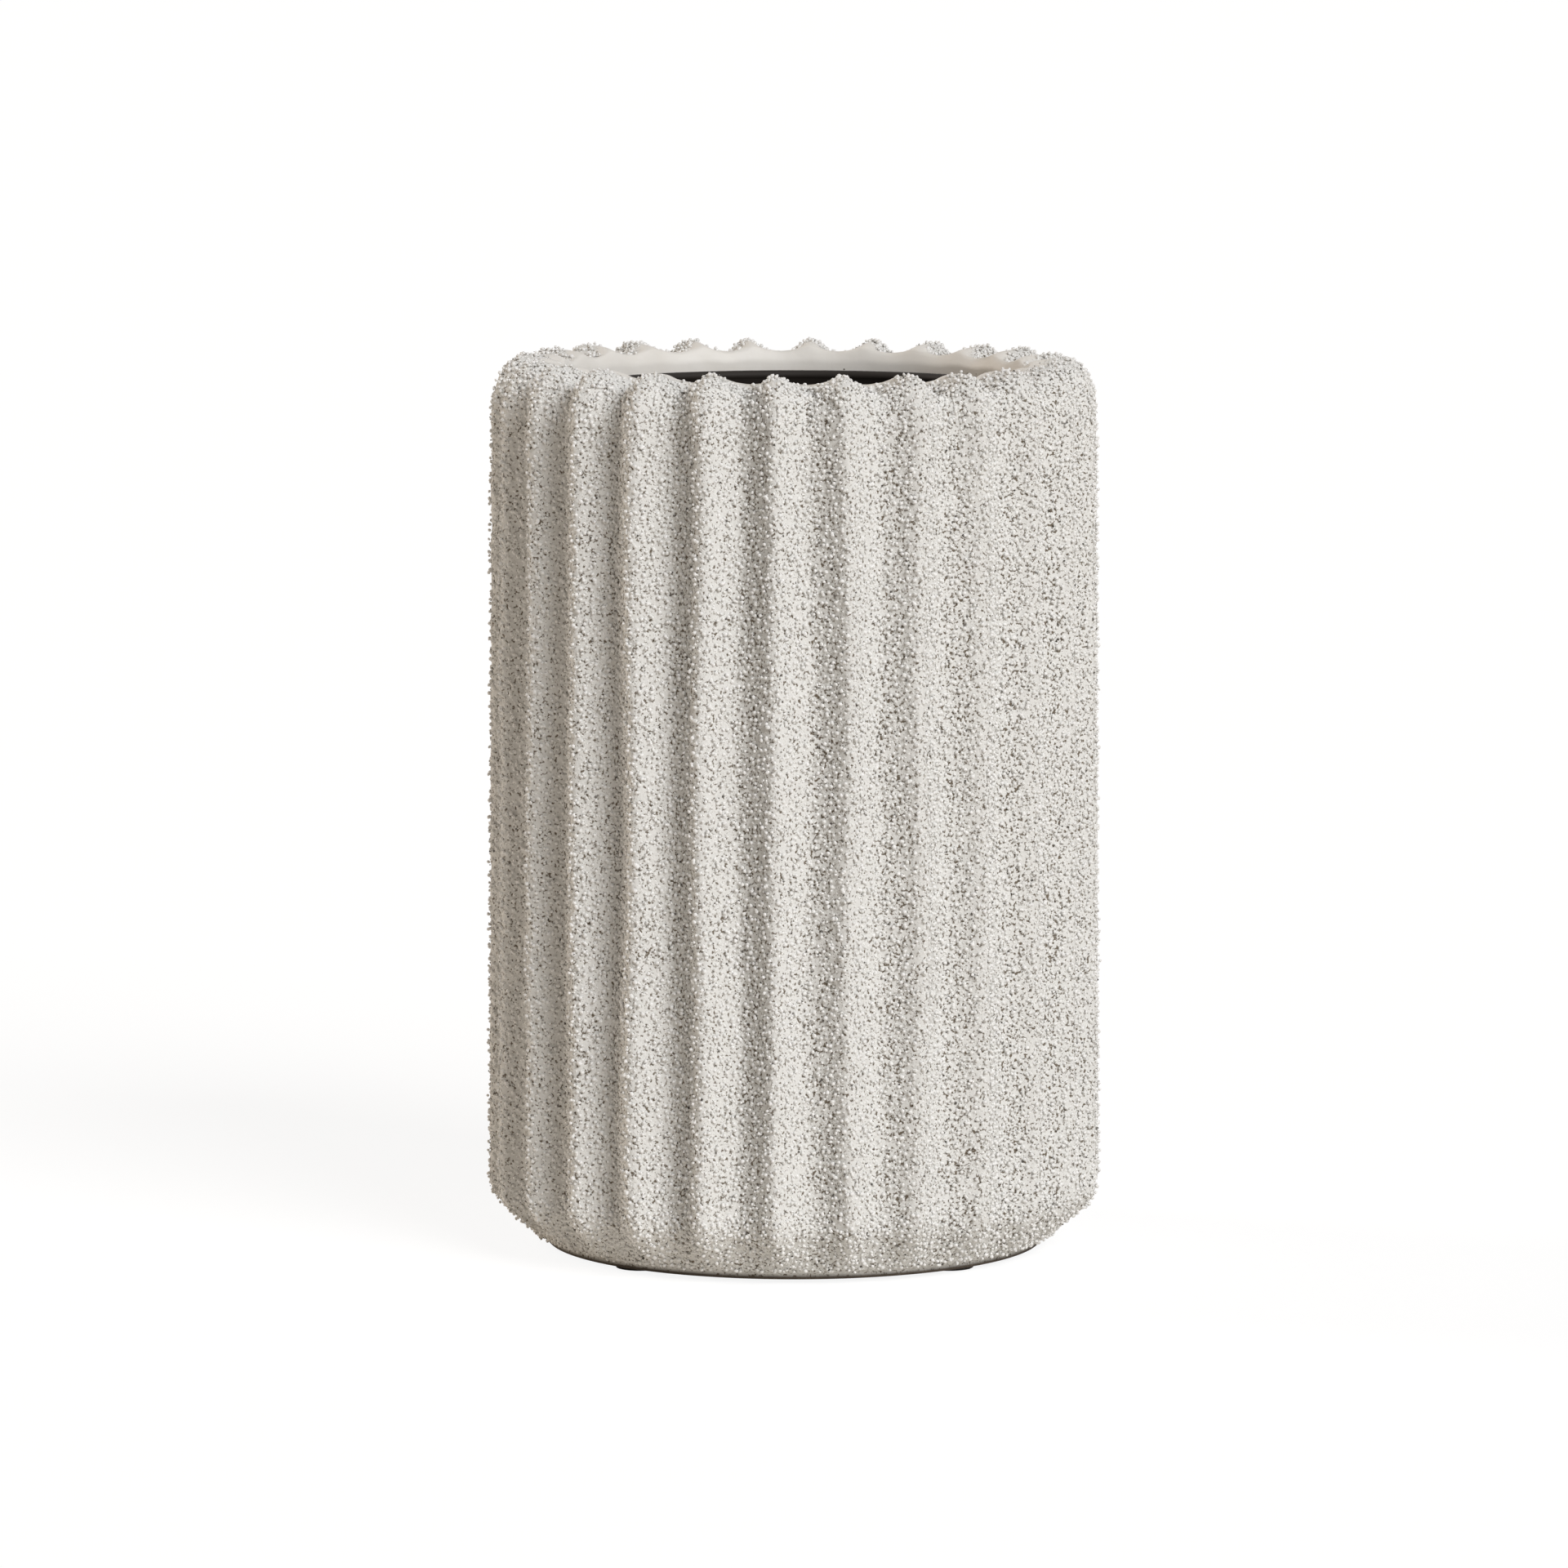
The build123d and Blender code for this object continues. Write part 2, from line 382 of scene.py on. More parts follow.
@dataclass(frozen=True)
class VaseShape:
    """Sizes of the fired vase, in millimetres and degrees, and the fluted surface they give."""

    # Whole vase
    total_height: float = 217.6
    wall_radius_low: float = 75.3
    wall_radius_high: float = 74.1

    # Flutes, and the overtones that narrow their ridges and straighten their flanks
    flute_count: int = 26
    flute_depth: float = 5.0
    ridge_turn: float = -93.8
    ridge_narrowing: float = 0.16
    rim_narrowing: float = 0.0
    flank_straightness: float = 0.067

    # Rim
    shoulder_width: float = 8.0
    shoulder_height: float = 14.0
    crown_drop: float = 3.4
    crown_power: float = 3.0
    collar_radius: float = 55.6

    # Bevel, and how fast the flutes grow on it
    bevel_angle: float = 39.0
    bevel_width: float = 8.6
    bevel_base: float = 2.6
    bevel_growth: float = 1.2
    corner_radius: float = 10.0

    # Gritty coat: its height, the radii between which it ends, and its longer reach in the valleys
    coat_height: float = 0.8
    grit_ends: float = 63.5
    glaze_begins: float = 60.5
    lip_ends: float = 58.0
    valley_reach: float = 9.0

    # Uneven handwork: sideways sway, depth that comes and goes, and small lumps
    ridge_sway: float = 0.6
    sway_waves: int = 7
    depth_sway: float = 0.1
    depth_waves: int = 5
    lump_height: float = 0.12
    lump_waves: int = 61
    lump_wave_gap: int = 27
    lump_length: float = 17.0

    # Sunken rim: its tilt, the height from which it tilts, and the notches across its crown
    rim_tilt: float = 1.4
    rim_low_turn: float = -60.0
    tilt_base: float = 140.0
    notch_drop: float = 0.6
    notch_span: Pair = (0.3, 0.9)

    # Shaded flank of each ridge, painted darker as painted shade, as shares of the way to the next one
    shade_flank_begins: Pair = (0.4, 0.56)
    shade_flank_ends: Pair = (0.74, 0.94)

    # Points on each stretch of the ridge line
    line_points: int = 240

    @property
    def shoulder_base(self) -> float:
        """Height at which the shoulder begins."""
        return self.total_height - self.shoulder_height

    @cached_property
    def line(self) -> OuterLine:
        """Draws the ridge line of the outside.

        Returns:
            The line over its five stretches: bevel, corner, wall, shoulder and crown.
        """
        share = np.linspace(0, 1, self.line_points)
        quarter = share * math.pi / 2
        start = math.radians(self.bevel_angle - 90)
        corner_middle = self.wall_radius_low - self.corner_radius
        corner_start = corner_middle + self.corner_radius * math.cos(start)
        bevel_rise = self.bevel_width * math.tan(math.radians(self.bevel_angle))
        corner_height = self.bevel_base + bevel_rise
        wall_base = corner_height - self.corner_radius * math.sin(start)
        crown_radius = self.wall_radius_high - self.shoulder_width
        crown_width = crown_radius - self.collar_radius
        across = np.sin(quarter) ** (2 / self.crown_power)
        up = np.cos(quarter) ** (2 / self.crown_power)
        steeper = self.crown_power - 1
        turned = start * (1 - share)
        radius = [
            corner_start + (share - 1) * self.bevel_width,
            corner_middle + self.corner_radius * np.cos(turned),
            self.wall_radius_low + share * (self.wall_radius_high - self.wall_radius_low),
            crown_radius + self.shoulder_width * np.cos(quarter),
            crown_radius - crown_width * across,
        ]
        height = [
            self.bevel_base + share * (corner_height - self.bevel_base),
            wall_base + self.corner_radius * np.sin(turned),
            wall_base + share * (self.shoulder_base - wall_base),
            self.shoulder_base + self.shoulder_height * np.sin(quarter),
            self.total_height - self.crown_drop * (1 - up),
        ]
        lean = [
            np.full_like(share, start),
            turned,
            np.zeros_like(share),
            np.arctan2(np.sin(quarter) / self.shoulder_height, np.cos(quarter) / self.shoulder_width),
            np.arctan2(up**steeper / self.crown_drop, -(across**steeper) / crown_width),
        ]
        climb = wall_base - self.bevel_base
        rises = [math.pi / 2 * (low - self.bevel_base) / climb for low in height[:2]]
        grown = [np.sin(rise) ** self.bevel_growth for rise in rises]
        full = np.ones_like(share)
        depth = [*grown, full, full, np.cos(quarter) ** 2]
        broader = self.rim_narrowing - self.ridge_narrowing
        narrowing = [full * 0, full * 0, full * 0, broader * share, broader * full]
        r, z = np.concatenate(radius), np.concatenate(height)
        return OuterLine(
            arc=np.concatenate([[0], np.cumsum(np.hypot(np.diff(r), np.diff(z)))]),
            radius=r,
            height=z,
            lean=np.concatenate(lean),
            depth=self.flute_depth * np.concatenate(depth),
            narrowing=self.ridge_narrowing + np.concatenate(narrowing),
            inset=np.concatenate([full * crown_radius] * 4 + radius[4:]),
        )

    def wave(self, place: Array, narrowing: Array) -> Array:
        """Wave of the flutes, with overtones that narrow the ridges and straighten the flanks.

        Args:
            place: Place counted in flutes, whole on the ridges.
            narrowing: Strength of the overtone that narrows the ridges.

        Returns:
            Share of the way up from the valley to the ridge.
        """
        across = 2 * math.pi * place
        straight = self.flank_straightness
        wave = np.cos(across) + narrowing * np.cos(2 * across) + straight * np.cos(3 * across)
        return (wave + 1 - narrowing + straight) / (2 + 2 * straight)

    def flute(self, arc: Array, turn: Array) -> tuple[Array, Array]:
        """Where places lie among the flutes.

        Args:
            arc: Length in millimetres along the ridge line.
            turn: Angle in radians round the axis.

        Returns:
            Place counted in flutes, and its share of the way up from the valley to the ridge.
        """
        pitch = 2 * math.pi / self.flute_count
        level = self.line.at("height", arc)
        regular = (turn - math.radians(self.ridge_turn)) / pitch
        place = regular
        # The sway depends on the place that it moves, and two rounds settle it
        for _ in range(2):
            aside = self.ridge_sway * HandSway(self.flute_count, self.sway_waves).at(place, level)
            place = regular - aside / (self.wall_radius_low * pitch)
        return place, self.wave(place, self.line.at("narrowing", arc))

    def shade_flank(self, place: Array) -> Array:
        """Share from 0 on the lit flank of a ridge to 1 on its shaded flank, where dark grains and pits are
        painted shade.
        """
        share = place - np.floor(place)
        return eased(*self.shade_flank_begins, share) - eased(*self.shade_flank_ends, share)

    def grit(self, inset: Array, wave: Array) -> Array:
        """Share of the gritty coat, which ends on the rim and reaches further in along the valleys.

        Args:
            inset: Radius on the rim's crown.
            wave: Share of the way up from the valley to the ridge.

        Returns:
            Share from 0 on the bare glaze to 1 on the full coat.
        """
        reach = inset + self.valley_reach * (1 - wave)
        coated = eased(self.glaze_begins, self.grit_ends, reach)
        return coated * eased(self.collar_radius, self.lip_ends, inset)

    def fall(self, arc: Array, turn: Array) -> Array:
        """How far the rim has sunk, most on its low side and in the notches of its lip.

        Args:
            arc: Length in millimetres along the ridge line.
            turn: Angle in radians round the axis.

        Returns:
            Fall in millimetres at each place.
        """
        tilted = eased(self.tilt_base, self.shoulder_base, self.line.at("height", arc))
        lowness = (1 + np.cos(turn - math.radians(self.rim_low_turn))) / 2
        crown = self.line.inset[0]
        inward = (crown - self.line.at("inset", arc)) / (crown - self.collar_radius)
        valley = 1 - self.flute(arc, turn)[1]
        notch = self.notch_drop * eased(*self.notch_span, inward) * valley
        return self.rim_tilt * tilted * lowness + notch

    def surface(self, arc: Array, turn: Array) -> Array:
        """Places on the fluted outside, under the grit.

        Args:
            arc: Length in millimetres along the ridge line.
            turn: Angle in radians round the axis.

        Returns:
            Place in millimetres of each point.
        """
        lean, depth, level = (self.line.at(name, arc) for name in ("lean", "depth", "height"))
        place, wave = self.flute(arc, turn)
        deeper = 1 + self.depth_sway * HandSway(self.flute_count, self.depth_waves).at(place, level)
        uneven = HandSway(self.flute_count, self.lump_waves, self.lump_wave_gap, self.lump_length)
        lump = self.lump_height * uneven.at(place, level)
        lumps = (lump + self.lump_height) * depth / self.flute_depth
        sink = self.coat_height + depth * deeper * (1 - wave) + lumps
        radius = self.line.at("radius", arc) - sink * np.cos(lean)
        height = level - sink * np.sin(lean) - self.fall(arc, turn)
        return np.stack([radius * np.cos(turn), radius * np.sin(turn), height], 1)

    def facing(self, arc: Array, turn: Array) -> Array:
        """Outward directions of the fluted outside.

        Args:
            arc: Length in millimetres along the ridge line.
            turn: Angle in radians round the axis.

        Returns:
            Direction of length 1 at each place.
        """
        step = 0.2
        up = self.surface(arc + step, turn) - self.surface(arc - step, turn)
        side = step / self.wall_radius_low
        round_axis = self.surface(arc, turn + side) - self.surface(arc, turn - side)
        out = np.cross(round_axis, up)
        return out / np.linalg.norm(out, axis=1)[:, None]


@dataclass(frozen=True)
class GlazedStoneware:
    """Fired stoneware under a matt sanded slip, with a thin satin glaze on the inner rim.

    The bed between the grains is pale and dull, with dark pits of painted shade where its relief is lowest,
    and more of them on the shaded flank of each ridge. The glaze is smooth and softly lit, with a few iron
    specks in it. The underside and foot ring are bare of grains and painted dark brown, as a painted shadow
    under the foot.
    """

    bed: str = "#E2E2E0"
    pit_shade: str = "#6B6154"
    glaze: str = "#F0EEEA"
    glaze_thin: str = "#E4E0D9"
    iron: str = "#5A5248"
    # Painted shade on the underside and foot ring
    painted_foot_shade: str = "#4A4138"
    bed_roughness: float = 0.9
    glaze_roughness: float = 0.52
    ior: float = 1.52
    mottle_mm: float = 7.0
    mottle_relief: float = 1.2

    # The slip's own pores are about 0.2 mm, too fine for the picture, so they are drawn coarser
    grain_mm: float = 0.7
    # Dark pits are painted shade in the lowest parts of the bed's relief, with more on the shaded flank of
    # each ridge
    pit_shade_levels: Pair = (0.34, 0.44)
    shade_flank_pits: float = 0.035
    relief_strength: float = 0.6
    relief_mm: float = 0.3

    # Iron specks: their spacing, and their radius as a share of it
    speck_spacing_mm: float = 5.5
    speck_radius: Pair = (0.03, 0.055)

    def material(self) -> Material:
        """Builds the material.

        Returns:
            The material, which reads the body's grit, shade_flank and foot attributes, the last two for
            painted shade.
        """
        material, tree = blank_material("sanded_stoneware")
        grit, shade_flank, foot = (attribute(tree, name) for name in ("grit", "shade_flank", "foot"))
        mottle = noise(tree, self.mottle_mm, detail=4.0)
        fine = noise(tree, self.grain_mm, detail=2.0)
        place = add_node(tree, "TexCoord", {}).outputs["Object"]
        cells = {"Vector": place, "Scale": per_metre(self.speck_spacing_mm)}
        middle = add_node(tree, "TexVoronoi", cells).outputs["Distance"]
        speck = ranged(tree, middle, self.speck_radius, (1.0, 0.0))
        glaze = mixed(tree, mottle, self.glaze_thin, self.glaze)
        specked = mixed(tree, speck, glaze, self.iron)
        # Pits are painted shade: dark where the relief is lowest, more of them on the shaded flank of each
        # ridge
        shade_flank_noise = added_share(tree, shade_flank, -self.shade_flank_pits, fine)
        pit_shade = ranged(tree, shade_flank_noise, self.pit_shade_levels, (1.0, 0.0))
        bed = mixed(tree, pit_shade, self.bed, self.pit_shade)
        coated = mixed(tree, grit, specked, bed)
        grain = add_node(tree, "Math", {0: fine, 1: grit}, operation="MULTIPLY").outputs[0]
        waves = added_share(tree, mottle, self.mottle_relief, grain)
        roughness = (self.glaze_roughness, self.bed_roughness)
        shade(tree, {
            # The underside and foot ring are painted dark as shade under the vase
            "Base Color": mixed(tree, foot, coated, self.painted_foot_shade),
            "Roughness": ranged(tree, grit, (0.0, 1.0), roughness),
            "Normal": bump(tree, waves, self.relief_strength, self.relief_mm),
            "IOR": self.ior,
        })
        return material


@dataclass(frozen=True)
class SandGrains:
    """Quartz sand and crushed grog fused into the slip.

    Each grain is one pale grey to cream tone, dull on the outside, and a few are dark: iron-bearing specks,
    and on the shaded flank of each ridge more dark grains as painted shade.
    The tone runs from 0 for a speck over speck_tone and cream_tone to 1 for the palest quartz.
    """

    speck: str = "#3A342C"
    shaded: str = "#CCCAC6"
    cream: str = "#EAEAE8"
    pale: str = "#F2F2F2"
    speck_tone: float = 0.12
    cream_tone: float = 0.5
    roughness: float = 0.7
    ior: float = 1.54

    def material(self) -> Material:
        """Builds the material.

        Returns:
            The material, which reads the tone attribute of each grain.
        """
        material, tree = blank_material("fused_sand")
        tone = attribute(tree, "tone")
        dark = ranged(tree, tone, (0.0, self.speck_tone))
        warm = ranged(tree, tone, (self.speck_tone, self.cream_tone))
        light = ranged(tree, tone, (self.cream_tone, 1.0))
        sandy = mixed(tree, warm, self.shaded, self.cream)
        bright = mixed(tree, light, sandy, self.pale)
        colour = mixed(tree, dark, self.speck, bright)
        shade(tree, {"Base Color": colour, "Roughness": self.roughness, "IOR": self.ior})
        return material


@dataclass(frozen=True)
class MouldedLiner:
    """Injection moulded polypropylene, near black and matt, with faint clouds where it has rubbed."""

    colour: str = "#1F1B18"
    worn: str = "#2B2622"
    roughness: Pair = (0.5, 0.72)
    ior: float = 1.49
    specular: float = 0.2
    cloud_mm: float = 18.0

    # The mould's own grain is about 0.1 mm, too fine for the picture, so it is drawn coarser
    grain_mm: float = 0.9
    relief_strength: float = 0.15
    relief_mm: float = 0.1

    def material(self) -> Material:
        """Builds the material.

        Returns:
            The material.
        """
        material, tree = blank_material("moulded_polypropylene")
        cloud = noise(tree, self.cloud_mm, detail=5.0)
        grain = noise(tree, self.grain_mm, detail=2.0)
        shade(tree, {
            "Base Color": mixed(tree, cloud, self.colour, self.worn),
            "Roughness": ranged(tree, cloud, (0.0, 1.0), self.roughness),
            "Normal": bump(tree, grain, self.relief_strength, self.relief_mm),
            "IOR": self.ior,
            "Specular IOR Level": self.specular,
        })
        return material


@dataclass(frozen=True)
class PressedFelt:
    """Pressed wool felt, dark grey and dull, with a soft tangle of fibres."""

    colour: str = "#3B3834"
    fibre: str = "#5A564F"
    roughness: float = 0.95
    sheen: float = 0.3

    # Wool fibres are about 0.03 mm, too fine for the picture, so their tangle is drawn coarser
    fibre_mm: float = 0.5
    tangle: float = 1.5
    relief_strength: float = 0.8
    relief_mm: float = 0.2

    def material(self) -> Material:
        """Builds the material.

        Returns:
            The material.
        """
        material, tree = blank_material("pressed_wool_felt")
        fibre = noise(tree, self.fibre_mm, detail=4.0, distortion=self.tangle)
        shade(tree, {
            "Base Color": mixed(tree, fibre, self.colour, self.fibre),
            "Roughness": self.roughness,
            "Normal": bump(tree, fibre, self.relief_strength, self.relief_mm),
            "Sheen Weight": self.sheen,
        })
        return material


@dataclass
class StonewareBody:
    """The fired vase in one skin: foot, bevel, fluted wall, rim, collar and hollow."""

    shape: VaseShape
    finish: GlazedStoneware
    row_spacing: float = 1.25
    steps_per_flute: int = 16

    # Underside and foot ring
    underside_middle: float = 20.0
    foot_bottom: float = 1.0
    foot_inner: float = 43.99
    foot_outer: float = 60.49
    foot_round: float = 0.6
    foot_fillet: float = 0.4
    fillet_rise: float = 0.2
    foot_steps: int = 3
    coated_rows: int = 2

    # Collar, the fade of the lip's fall on it, and the cove that widens to the hollow
    collar_height: float = 10.0
    collar_fall: float = 6.0
    cove_lead: float = 6.0
    cove_height: float = 22.0
    cove_steps: int = 7

    # Hollow
    hollow_radius: float = 61.1
    hollow_drop: float = 40.0
    hollow_rise: float = 8.0
    hollow_floor: float = 12.0
    hollow_round: float = 8.0
    floor_middle: float = 30.0
    straight_points: int = 4
    round_steps: int = 6

    # Height and draw of the bed's small lumps
    bed_lump: float = 0.12
    seed: int = 11

    def below(self) -> Profile:
        """Draws the underside.

        Returns:
            Radius and height of each point, from the axis over the foot ring to the bevel's foot.
        """
        top, low, soft = self.shape.bevel_base, self.foot_bottom, self.foot_round
        inner, outer, fillet = self.foot_inner, self.foot_outer, self.foot_fillet
        root = top - self.fillet_rise
        points = [(0, top), (self.underside_middle, top), (inner - fillet, top), (inner, root)]
        points += arc_points((inner + soft, low + soft), soft, 180, 270, self.foot_steps)
        points += [((inner + outer) / 2, low)]
        points += arc_points((outer - soft, low + soft), soft, 270, 360, self.foot_steps)
        return points + [(outer, root), (outer + fillet, top)]

    def inside(self, lip_height: float) -> Profile:
        """Draws the inside.

        Args:
            lip_height: Height at which the crown meets the collar.

        Returns:
            Radius and height of each point, from under the lip over collar, cove and hollow to the axis.
        """
        collar, wide = self.shape.collar_radius, self.hollow_radius
        foot = lip_height - self.collar_height
        cove_top = foot + self.cove_lead
        rows = np.linspace(lip_height, cove_top, self.straight_points)[1:]
        points = [(collar, height) for height in rows]
        for share in np.linspace(0, 1, self.cove_steps + 1)[1:]:
            out = collar + (wide - collar) * float(eased(0, 1, share))
            points.append((out, cove_top - share * self.cove_height))
        floor, soft = self.hollow_floor, self.hollow_round
        top, low = foot - self.hollow_drop, floor + soft + self.hollow_rise
        points += [(wide, height) for height in np.linspace(top, low, self.straight_points)]
        points += arc_points((wide - soft, floor + soft), soft, 0, -90, self.round_steps)
        return points + [(self.floor_middle, floor), (0, floor)]

    def build(self) -> Object:
        """Spins the skin, then sculpts flutes and a rough bed into its outside.

        Returns:
            The body's object.
        """
        line = self.shape.line
        arcs = np.linspace(0, line.arc[-1], round(line.arc[-1] / self.row_spacing))
        below = self.below()
        outside = list(zip(line.at("radius", arcs), line.at("height", arcs)))
        lip_height = outside[-1][1]
        profile = below + outside + self.inside(lip_height)
        turn = math.radians(self.shape.ridge_turn)
        skin = spun(profile, turn, self.steps_per_flute * self.shape.flute_count)
        piece = as_piece(skin, "stoneware_vase")
        mesh = piece.data
        row = read(mesh.attributes[ROW].data, "value", np.int32)
        places = places_of(mesh)
        angle = np.arctan2(places[:, 1], places[:, 0])
        collar = row >= len(below) + len(arcs)
        outer = (row >= len(below)) & ~collar
        arc, at = arcs[row[outer] - len(below)], angle[outer]
        flute, wave = self.shape.flute(arc, at)
        grit = np.where(row < len(below), 1.0, 0.0)
        grit[outer] = self.shape.grit(line.at("inset", arc), wave)
        # Share of the shaded flank of each ridge, where the bed's pits are painted shade
        shade_flank = np.zeros(len(row))
        shade_flank[outer] = self.shape.shade_flank(flute)
        draw = np.random.default_rng(self.seed).uniform(-1, 1, len(arc))
        lump = draw * self.bed_lump * grit[outer]
        places[outer] = self.shape.surface(arc, at) + lump[:, None] * self.shape.facing(arc, at)
        under = (lip_height - places[collar, 2]) / self.collar_fall
        lip_fall = self.shape.fall(np.full(collar.sum(), arcs[-1]), angle[collar])
        places[collar, 2] -= lip_fall * np.clip(1 - under, 0, 1)
        move_to(mesh, places)
        write_values(mesh, "grit", grit)
        # The underside, but for its outer rows, is painted dark as shade under the foot
        write_values(mesh, "foot", row < len(below) - self.coated_rows)
        write_values(mesh, "shade_flank", shade_flank)
        self.unroll(mesh, row / len(profile), angle)
        mesh.attributes.remove(mesh.attributes[ROW])
        return piece

    def unroll(self, mesh: Mesh, along: Array, angle: Array) -> None:
        """Lays the skin flat as a map: once round across, and along the profile upwards.

        Args:
            mesh: Mesh of the body.
            along: Share along the profile of each vertex.
            angle: Angle round the axis of each vertex.
        """
        corner = read(mesh.loops, "vertex_index", np.int32)
        start = read(mesh.polygons, "loop_start", np.int32)
        face = np.repeat(np.arange(len(start)), np.diff(np.append(start, len(corner))))
        across = (angle[corner] / (2 * math.pi)) % 1
        far = np.maximum.reduceat(across, start)[face] - across > 0.5
        write_map(mesh, np.stack([np.where(far, 1, across), along[corner]], 1))

    def dress(self) -> None:
        """Builds the body and puts it in the place of its CAD node."""
        piece = self.build()
        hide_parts("stoneware_body")
        dress(piece, self.finish.material(), Body.VASE)


@dataclass
class GritCoat:
    """Sand grains sunk side by side into the outside of the vase, in bands from the foot up.

    Sizes are in millimetres. The field proud says how far grains stand out, as shares of the coat's height,
    and dark gives the share of dark grains on the lit flank of the ridges and on their shaded flank, where
    the extra dark grains are painted shade.
    """

    shape: VaseShape
    material: Material
    name: str
    form: GrainForm
    bands: int
    doublings: int
    smallest: float
    largest: float
    tones: Pair
    proud: Pair
    dark: Pair
    seed: int

    # Tone of the darkest grains, and how uneven the grains are in size, stand, girth and outline
    dark_tone: float = 0.05
    size_bias: float = 1.6
    stand_bias: float = 2.0
    squat: Pair = (0.7, 1.0)
    uneven: Pair = (0.84, 1.16)

    # Random shift as a share of the spacing, distance kept from both ends, and steps along a flute's curve
    shift: float = 0.3
    end_gap: float = 0.3
    curve_steps: int = 200

    # Radius of the model grain, the slant at which it is laid flat, and the share of its square it fills
    model_radius: float = 0.5
    slant: Pair = (0.23, 0.41)
    filled: float = 0.6

    def one_band(self) -> Mesh:
        """Makes one grain and doubles it until a band is full.

        Returns:
            Mesh of a band, all its grains in one place.
        """
        shape, radius = bmesh.new(), self.model_radius * MM
        if self.form is GrainForm.ROUNDED:
            bmesh.ops.create_icosphere(shape, subdivisions=1, radius=radius)
        else:
            bmesh.ops.create_uvsphere(shape, u_segments=4, v_segments=2, radius=radius)
        mesh = bpy.data.meshes.new(self.name)
        shape.to_mesh(mesh)
        shape.clear()
        shape.from_mesh(mesh)
        for _ in range(self.doublings):
            bmesh.ops.duplicate(shape, geom=shape.verts[:] + shape.edges[:] + shape.faces[:])
        shape.to_mesh(mesh)
        shape.free()
        if self.form is GrainForm.ROUNDED:
            mesh.shade_smooth()
        return mesh

    def spread(self, number: Array) -> Array:
        """Deals grains out round the vase by the golden ratio, evenly along the flutes' curve.

        Args:
            number: Number of each grain.

        Returns:
            Place of each grain, counted in flutes.
        """
        shape = self.shape
        share = np.linspace(0, 1, self.curve_steps)
        wave = shape.wave(share - 0.5, shape.ridge_narrowing)
        width = 2 * math.pi * shape.wall_radius_low / shape.flute_count
        length = np.cumsum(np.hypot(width, shape.flute_depth * np.gradient(wave, share)))
        golden = (math.sqrt(5) - 1) / 2
        flute = (number * golden * shape.flute_count) % shape.flute_count
        whole = np.floor(flute)
        even = (length - length[0]) / np.ptp(length)
        return whole - 0.5 + np.interp(flute - whole, even, share)

    def scatter(self, count: int, rng: np.random.Generator) -> tuple[Array, Array]:
        """Spreads grains evenly over the gritty outside, from the foot up.

        Args:
            count: Number of grains.
            rng: Source of the small random shifts.

        Returns:
            Length along the ridge line and angle round the axis of each grain.
        """
        shape, line = self.shape, self.shape.line
        widest = shape.grit(line.inset, 0.0)
        area = np.cumsum(line.radius * widest * np.gradient(line.arc))
        number = np.arange(count) + 0.5
        arc = np.interp(number / count, area / area[-1], line.arc)
        spacing = math.sqrt(2 * math.pi * area[-1] / count)
        turn = math.radians(shape.ridge_turn) + self.spread(number) * 2 * math.pi / shape.flute_count
        shift = rng.normal(0, self.shift * spacing, (2, count))
        turn += shift[1] / shape.wall_radius_low
        arc = np.clip(arc + shift[0], self.end_gap, line.arc[-1] - self.end_gap)
        kept = shape.grit(line.at("inset", arc), shape.flute(arc, turn)[1])
        # Grains that fall on the bare crown go to the wall
        bare = rng.uniform(0, 1, count) * np.interp(arc, line.arc, widest) > kept
        crown_start = line.arc[np.argmin(line.inset >= line.inset[0])]
        return np.where(bare, rng.uniform(0, crown_start, count), arc), turn

    def build(self) -> list[Object]:
        """Builds the bands of grains.

        Returns:
            One object per band.
        """
        rng = np.random.default_rng(self.seed)
        band = self.one_band()
        grains = 2**self.doublings
        model = places_of(band).reshape(grains, -1, 3)
        arc, turn = self.scatter(grains * self.bands, rng)
        ground, out = self.shape.surface(arc, turn), self.shape.facing(arc, turn)
        # More grains turn dark on the shaded flank of each ridge, as painted shade
        shade_flank = self.shape.shade_flank(self.shape.flute(arc, turn)[0])
        chance = self.dark[0] + (self.dark[1] - self.dark[0]) * shade_flank
        pieces = []
        for number in range(self.bands):
            part = slice(number * grains, (number + 1) * grains)
            mesh = band.copy()
            mesh.name = f"{self.name}_{number + 1}"
            self.set_grains(mesh, model, ground[part], out[part], chance[part], rng)
            self.lay_flat(mesh, model)
            pieces.append(placed(mesh.name, mesh))
        bpy.data.meshes.remove(band)
        return pieces

    def set_grains(
        self, mesh: Mesh, model: Array, ground: Array, out: Array, chance: Array, rng: np.random.Generator
    ) -> None:
        """Sets every grain of a band on the wall with its own size, turn and tone.

        Args:
            mesh: Mesh of the band.
            model: Places of the grains before they are set, in millimetres.
            ground: Place on the wall of each grain.
            out: Outward direction there.
            chance: Chance that the grain is dark.
            rng: Source of the draws.
        """
        grains, corners = model.shape[:2]
        range_mm = self.largest - self.smallest
        size = rng.uniform(0, 1, grains) ** self.size_bias * range_mm + self.smallest
        squat = rng.uniform(*self.squat, (grains, 1, 3))
        uneven = rng.uniform(*self.uneven, (grains, corners, 1))
        turned = np.linalg.qr(rng.normal(size=(grains, 3, 3)))[0]
        body = np.einsum("gij,gcj->gci", turned, model * squat * uneven) * size[:, None, None]
        top = (body * out[:, None]).sum(2).max(1)
        dark = rng.uniform(0, 1, grains) < chance
        low, high = self.proud
        stand = low + (high - low) * rng.uniform(0, 1, grains) ** self.stand_bias
        proud = self.shape.coat_height * stand - top
        centre = ground + out * proud[:, None]
        move_to(mesh, (centre[:, None] + body).reshape(-1, 3))
        dark_tone = rng.uniform(0, self.dark_tone, grains)
        tone = np.where(dark, dark_tone, rng.uniform(*self.tones, grains))
